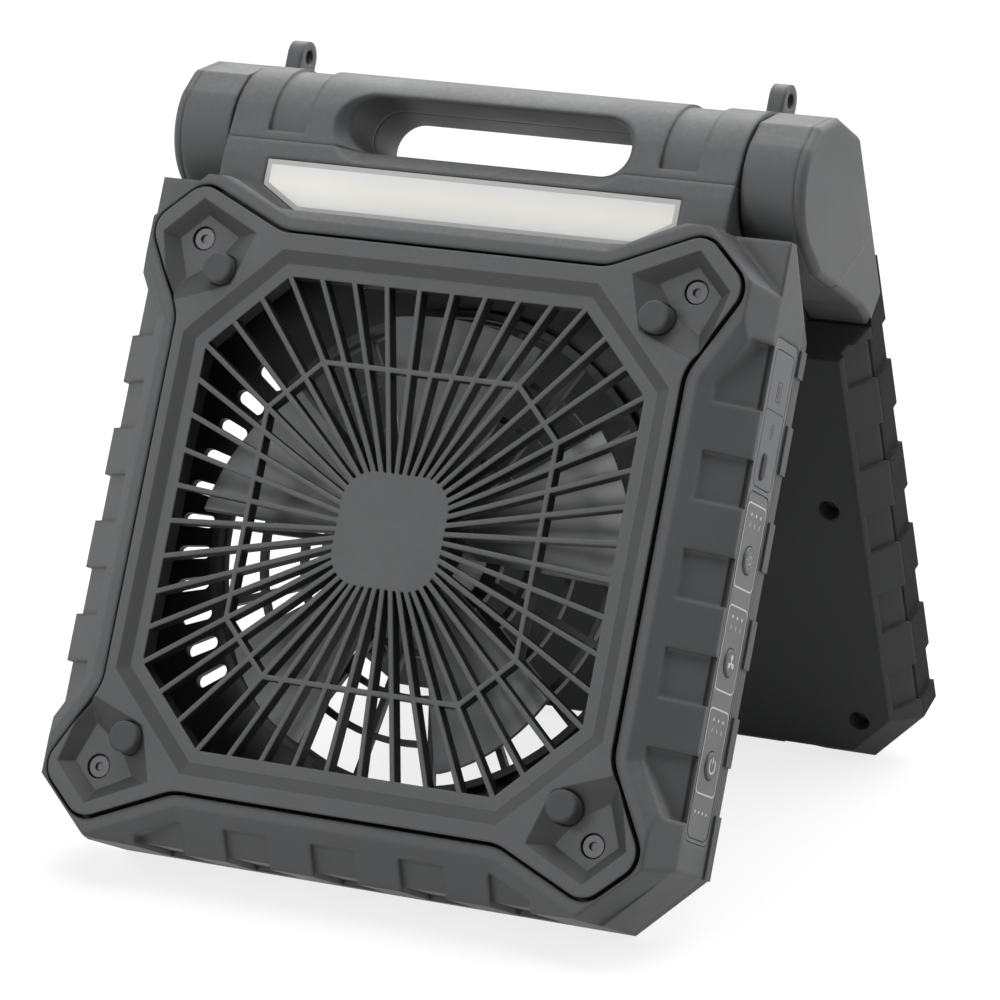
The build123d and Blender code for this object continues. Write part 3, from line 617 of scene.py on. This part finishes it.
def print_controls():
    frames, bright, faint = [], [], []
    for name in ("light_button", "fan_button", "power_button"):
        y, z = spot(name)
        top, base = y + FRAME_ABOVE, y - FRAME_BELOW
        outer = rounded(base, top, FRAME_BACK, FRAME_FRONT, FRAME_ROUND)
        inner = rounded(
            base + FRAME_END_LINE,
            top - FRAME_END_LINE,
            FRAME_BACK + FRAME_SIDE_LINE,
            FRAME_FRONT - FRAME_SIDE_LINE,
            FRAME_ROUND - FRAME_SIDE_LINE,
        )
        frames.append((outer, inner))
        for k in (-1, 0, 1):
            across = z + MARK_STEP * k
            bright.append((disc(top - DOT_DROP, across, DOT_R), None))
            faint.append((bar(top - TICK_DROP, across, TICK_HALF_LENGTH, TICK_HALF_WIDTH, 0.3, 3), None))
    y, z = spot("power_button")
    for k in range(CHARGE_DOTS):
        across = z + CHARGE_FORWARD + CHARGE_STEP * (k - (CHARGE_DOTS - 1) / 2)
        bright.append((disc(y - CHARGE_DROP, across, CHARGE_R), None))
    stamp("control_frames", frames, on_strip, white_ink, "fan_panel")
    stamp("level_dots", bright, on_strip, white_ink, "fan_panel")
    stamp("level_ticks", faint, on_strip, grey_ink, "fan_panel")


# A sun: a ring with eight dots round it
def print_light_icon():
    ring_r, ring_line, ray_at, ray_r, rays = 1.5, 0.4, 2.5, 0.28, 8
    y, z = spot("light_button")
    shapes = []
    for k in range(rays):
        a = math.radians(360 / rays * k)
        shapes.append((disc(y + ray_at * math.cos(a), z + ray_at * math.sin(a), ray_r, 10), None))
    shapes.append(hoop(y, z, ring_r, ring_line))
    stamp("light_icon", shapes, on_button, grey_ink, "light_button_body")


# Three blades, each a loop of (distance from the middle, angle), round a small hub
def print_fan_icon():
    blade = ((0.5, 0), (1.4, -30), (2.4, -20), (2.8, 4), (2.4, 26), (1.3, 34))
    blades, hub_r = 3, 0.6
    y, z = spot("fan_button")
    shapes = []
    for k in range(blades):
        turned = [(r, math.radians(a + 360 / blades * k)) for r, a in blade]
        shapes.append(([(y + r * math.cos(a), z + r * math.sin(a)) for r, a in turned], None))
    shapes.append((disc(y, z, hub_r, 14), None))
    stamp("fan_icon", shapes, on_button, white_ink, "fan_button_body")


# An open ring with a stroke in its gap
def print_power_icon():
    outer_r, inner_r, gap = 2.7, 2.1, 38
    stroke_y, stroke_half, stroke_half_width = 1.8, 1.2, 0.3
    y, z = spot("power_button")
    ring = arc(y, z, outer_r, gap, 360 - gap) + arc(y, z, inner_r, 360 - gap, gap)
    stroke = bar(y + stroke_y, z, stroke_half, stroke_half_width, 0.29, 3)
    stamp("power_icon", [(ring, None), (stroke, None)], on_button, white_ink, "power_button_body")


# Outlines of the two sockets' mouths and tongues, and a line between them
def print_flap():
    a, _ = spot("usb_a_socket")
    c, z = spot("usb_c_socket")
    marks = [
        (bar(a, z, 3.4, 1.8, 0.3), bar(a, z, 3.0, 1.4, 0.2)),
        (bar(a, z + 0.45, 2.3, 0.35, 0.1), None),
        (bar(c, z, 2.6, 1.2, 1.15), bar(c, z, 2.25, 0.85, 0.8)),
        (bar(c, z, 1.4, 0.2, 0.1), None),
    ]
    stamp("port_marks", marks, on_strip, dark_ink, "flap_body")
    line_z, line_half, line_half_width = 11.2, 7.4, 0.2
    line = bar((a + c) / 2, line_z, line_half_width, line_half, 0.15, 2)
    stamp("flap_line", [(line, None)], on_strip, dark_ink, "flap_body")


# Painted shade: a matt grey border round the face of the light cover, standing in for the shade along its
# edges
def paint_light_cover_shade():
    corners = [in_fan(v.co) / MM for v in nodes["light_diffuser"].data.vertices]
    face = max(point.z for point in corners)
    outline = {(round(p.x, 2), round(p.y, 2)) for p in corners if p.z > face - 0.1}
    cx, cy = (sum(values) / len(outline) for values in zip(*outline))
    outer = sorted(outline, key=lambda p: math.atan2(p[1] - cy, p[0] - cx))
    inner = []
    for k, (x, y) in enumerate(outer):
        last, following = outer[k - 1], outer[(k + 1) % len(outer)]
        before = Vector((x - last[0], y - last[1])).normalized()
        after = Vector((following[0] - x, following[1] - y)).normalized()
        reach = PAINTED_SHADE_WIDTH / (1 + before.dot(after))
        inward = Vector((-before.y - after.y, before.x + after.x)) * reach
        inner.append((x + inward.x, y + inward.y))

    def on_light(level, x, y):
        return on_fan(x * MM, y * MM, (face + level) * MM)

    stamp("light_cover_painted_shade", [(outer, inner)], on_light, painted_shade_border, "fan_panel")


print_controls()
print_light_icon()
print_fan_icon()
print_power_icon()
paint_light_cover_shade()
print_flap()


# Studio: pale floor that keeps a soft shadow, white where it is seen, and soft lights all round
def make_floor():
    half = 40.0
    near, far = 0.6, 2.5
    corners = [(-half, -half, 0), (half, -half, 0), (half, half, 0), (-half, half, 0)]
    mesh = bpy.data.meshes.new("floor")
    mesh.from_pydata(corners, [], [(0, 1, 2, 3)])
    floor = bpy.data.objects.new("floor", mesh)
    bpy.context.collection.objects.link(floor)
    material, tree, shader = new_material("pale_floor")
    shader.inputs["Base Color"].default_value = (0.45, 0.45, 0.45, 1)
    shader.inputs["Roughness"].default_value = 0.9
    shader.inputs["Specular IOR Level"].default_value = 0.1
    paper = add(tree, "BsdfDiffuse", {"Color": (0.95, 0.95, 0.95, 1)})
    glow = add(tree, "Emission", {"Color": (1, 1, 1, 1), "Strength": 1.0})
    seen = add(tree, "MixShader")
    coords = add(tree, "TexCoord")
    reach = add(tree, "VectorMath", operation="LENGTH")
    path = add(tree, "LightPath")
    mirrored = add(tree, "Math", operation="MAXIMUM")
    shown = add(tree, "Math", operation="MAXIMUM")
    switch = add(tree, "MixShader")
    wire(
        tree,
        (coords.outputs["Object"], reach.inputs[0]),
        (remap(tree, reach.outputs["Value"], near, far, 0.8, 1.0), seen.inputs["Fac"]),
        (paper.outputs[0], seen.inputs[1]),
        (glow.outputs[0], seen.inputs[2]),
        (path.outputs["Is Glossy Ray"], mirrored.inputs[0]),
        (path.outputs["Is Transmission Ray"], mirrored.inputs[1]),
        (path.outputs["Is Camera Ray"], shown.inputs[0]),
        (mirrored.outputs[0], shown.inputs[1]),
        (shown.outputs[0], switch.inputs["Fac"]),
        (shader.outputs[0], switch.inputs[1]),
        (seen.outputs[0], switch.inputs[2]),
        (switch.outputs[0], tree.nodes["Material Output"].inputs["Surface"]),
    )
    mesh.materials.append(material)


def make_world():
    world = bpy.data.worlds.new("studio")
    bpy.context.scene.world = world
    world.use_nodes = True
    backdrop = world.node_tree.nodes["Background"]
    backdrop.inputs["Color"].default_value = (0.9, 0.92, 0.95, 1)
    backdrop.inputs["Strength"].default_value = 0.13


def softbox(name, place, aim, size, watts):
    lamp = bpy.data.lights.new(name, "AREA")
    lamp.shape = "RECTANGLE"
    lamp.size, lamp.size_y = size
    lamp.energy = watts
    holder = bpy.data.objects.new(name, lamp)
    bpy.context.collection.objects.link(holder)
    holder.location = place
    holder.rotation_euler = (Vector(aim) - Vector(place)).to_track_quat("-Z", "Y").to_euler()


make_floor()
make_world()
centre = (0.0, 0.0, 0.13)
softbox("top_softbox", (0.02, 0.1, 1.2), centre, (1.5, 1.2), 18.5)
softbox("key_softbox", (-0.78, -1.28, 1.0), centre, (0.6, 0.5), 7.5)
softbox("left_softbox", (-1.4, -0.2, 0.6), centre, (0.7, 0.8), 5.0)
softbox("low_softbox", (-0.25, -1.7, 0.25), centre, (1.0, 0.3), 6.4)
softbox("right_softbox", (1.3, 0.9, 0.6), centre, (0.8, 0.8), 13.0)
softbox("back_card", (0.0, 1.65, 1.45), centre, (3.0, 0.9), 50.0)

# Camera at the photograph's angle, aimed a little right of and above the middle of the grille
GRILLE_DOWN = 134.2
GRILLE_OUT = 32.4
AIM_RIGHT = 38.44
AIM_UP = 16.02
azimuth = math.radians(26.0)
elevation = math.radians(15.57)
distance = 1.60435
grille_middle = on_fan(0, -GRILLE_DOWN * MM, GRILLE_OUT * MM)
target = grille_middle + Vector((AIM_RIGHT, 0.0, AIM_UP)) * MM
away = Vector((
    math.sin(azimuth) * math.cos(elevation),
    -math.cos(azimuth) * math.cos(elevation),
    math.sin(elevation),
))
camera = bpy.data.cameras.new("camera")
camera.sensor_width = 36.0
camera.lens = 180.0
eye = bpy.data.objects.new("camera", camera)
bpy.context.collection.objects.link(eye)
eye.location = target + away * distance
eye.rotation_euler = (-away).to_track_quat("-Z", "Y").to_euler()
bpy.context.scene.camera = eye
bpy.context.scene.view_settings.view_transform = "Standard"
